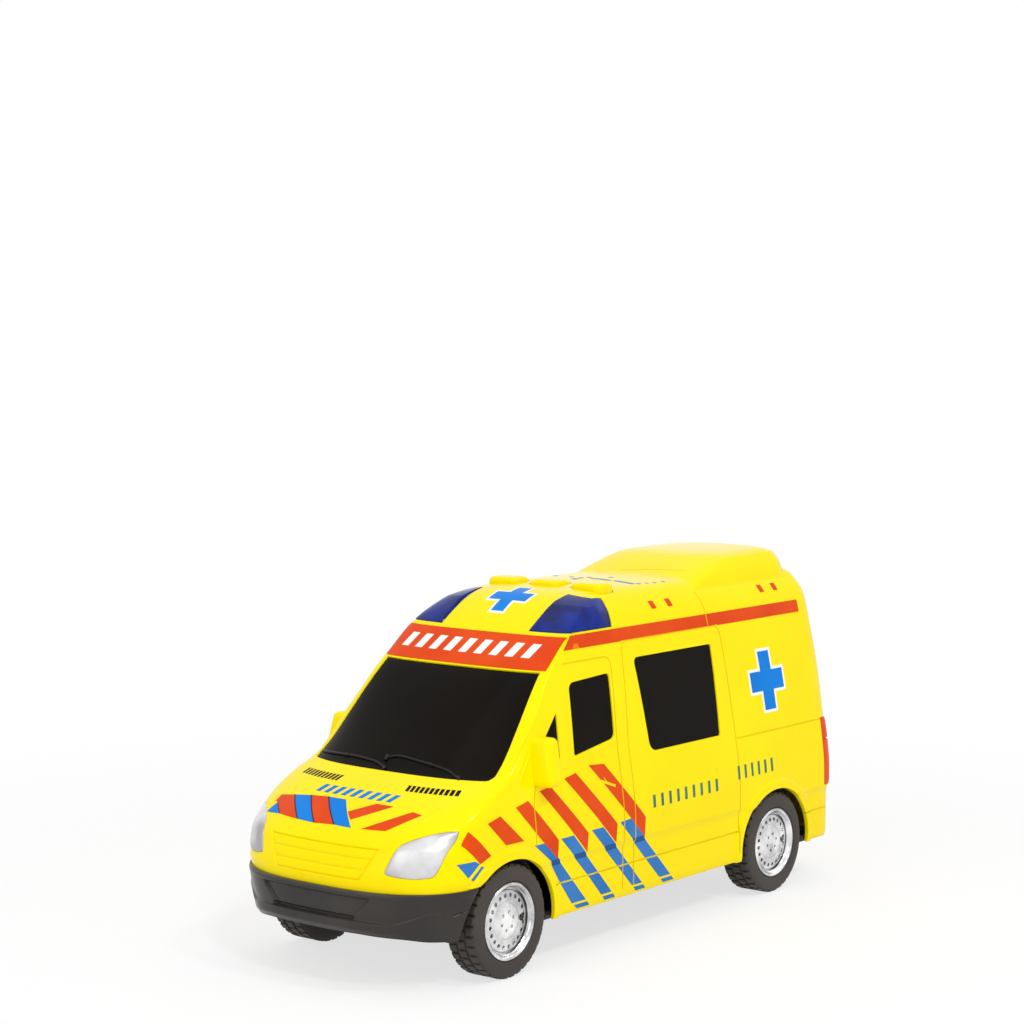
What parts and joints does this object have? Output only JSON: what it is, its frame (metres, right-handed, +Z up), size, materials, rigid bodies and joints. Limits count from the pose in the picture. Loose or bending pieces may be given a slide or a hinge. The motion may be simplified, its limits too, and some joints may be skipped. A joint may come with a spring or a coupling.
{
  "type": "toy ambulance",
  "caption": "Toy ambulance van with rolling wheels, a geared flywheel drive, sprung roof buttons over a sound board, blue roof lamps and dark glazing.",
  "frame": {"origin": "on the ground, under the middle of the overall box", "axes": "+X forward to the bumper, +Y to the van's left, +Z up"},
  "size_m": [0.21, 0.0872, 0.108],
  "materials": {
    "yellow_plastic": "glossy",
    "dark_pane": "glossy",
    "black_plastic": "satin",
    "blue_lens": "glossy, translucent",
    "red_lens": "glossy",
    "silver_paint": "silver paint on plastic",
    "plated_rim": "chrome plated plastic",
    "tyre": "matt",
    "steel": "bright",
    "circuit_board": "matt",
    "gear_plastic": "matt",
    "dome_rubber": "matt",
    "wire": "matt",
    "contact": "bright",
    "lamp_clear": "clear"
  },
  "bodies": {
    "van": {"body_shell": "yellow_plastic", "windscreen": "dark_pane", "glazing_left": "dark_pane", "glazing_right": "dark_pane", "rear_glazing": "dark_pane", "mirror_left": "yellow_plastic", "mirror_right": "yellow_plastic", "headlamp_left": "silver_paint", "headlamp_right": "silver_paint", "tail_lamp_left": "red_lens", "tail_lamp_right": "red_lens", "beacon_lens_left": "blue_lens", "beacon_lens_right": "blue_lens", "front_bumper": "black_plastic", "chassis": "black_plastic", "chassis_screws": "steel", "battery_cover": "black_plastic", "battery_cover_screw": "steel", "battery_cells": "steel", "battery_contacts": "contact", "sound_board": "circuit_board", "board_screws": "steel", "beacon_leds": "lamp_clear", "speaker": "black_plastic", "wire_loom": "wire", "button_dome_left": "dome_rubber", "button_dome_centre": "dome_rubber", "button_dome_right": "dome_rubber", "gearbox_housing": "gear_plastic", "gearbox_cover": "gear_plastic", "gearbox_screws": "steel"},
    "front_wheels": {"front_axle": "steel", "rim_front_left": "plated_rim", "rim_front_right": "plated_rim", "tyre_front_left": "tyre", "tyre_front_right": "tyre"},
    "rear_wheels": {"rear_axle": "steel", "axle_gear": "gear_plastic", "rim_rear_left": "plated_rim", "rim_rear_right": "plated_rim", "tyre_rear_left": "tyre", "tyre_rear_right": "tyre"},
    "idler": {"idler_gear": "gear_plastic"},
    "flywheel": {"flywheel": "steel"},
    "left_button": {"button_left": "yellow_plastic"},
    "centre_button": {"button_centre": "yellow_plastic"},
    "right_button": {"button_right": "yellow_plastic"}
  },
  "joints": [
    {"name": "front_wheels_spin", "type": "hinge", "parent": "van", "child": "front_wheels", "pos_m": [0.065, 0, 0.016], "axis": [0, 1, 0], "continuous": true},
    {"name": "rear_wheels_spin", "type": "hinge", "parent": "van", "child": "rear_wheels", "pos_m": [-0.069, 0, 0.016], "axis": [0, 1, 0], "continuous": true},
    {"name": "idler_spin", "type": "hinge", "parent": "van", "child": "idler", "pos_m": [-0.06042, 0, 0.0232], "axis": [0, 1, 0], "continuous": true},
    {"name": "flywheel_spin", "type": "hinge", "parent": "van", "child": "flywheel", "pos_m": [-0.04878, 0, 0.02567], "axis": [0, 1, 0], "continuous": true},
    {"name": "left_button_press", "type": "slide", "parent": "van", "child": "left_button", "axis": [0, 0, -1], "range_m": [0, 0.0014], "stiffness_N_per_m": 300, "springref_m": -0.001, "deforming": ["button_dome_left"]},
    {"name": "centre_button_press", "type": "slide", "parent": "van", "child": "centre_button", "axis": [0, 0, -1], "range_m": [0, 0.0014], "stiffness_N_per_m": 300, "springref_m": -0.001, "deforming": ["button_dome_centre"]},
    {"name": "right_button_press", "type": "slide", "parent": "van", "child": "right_button", "axis": [0, 0, -1], "range_m": [0, 0.0014], "stiffness_N_per_m": 300, "springref_m": -0.001, "deforming": ["button_dome_right"]}
  ],
  "couplings": [
    {"joint": "idler_spin", "follows": "rear_wheels_spin", "ratio": -2.2},
    {"joint": "flywheel_spin", "follows": "rear_wheels_spin", "ratio": 5.28}
  ]
}
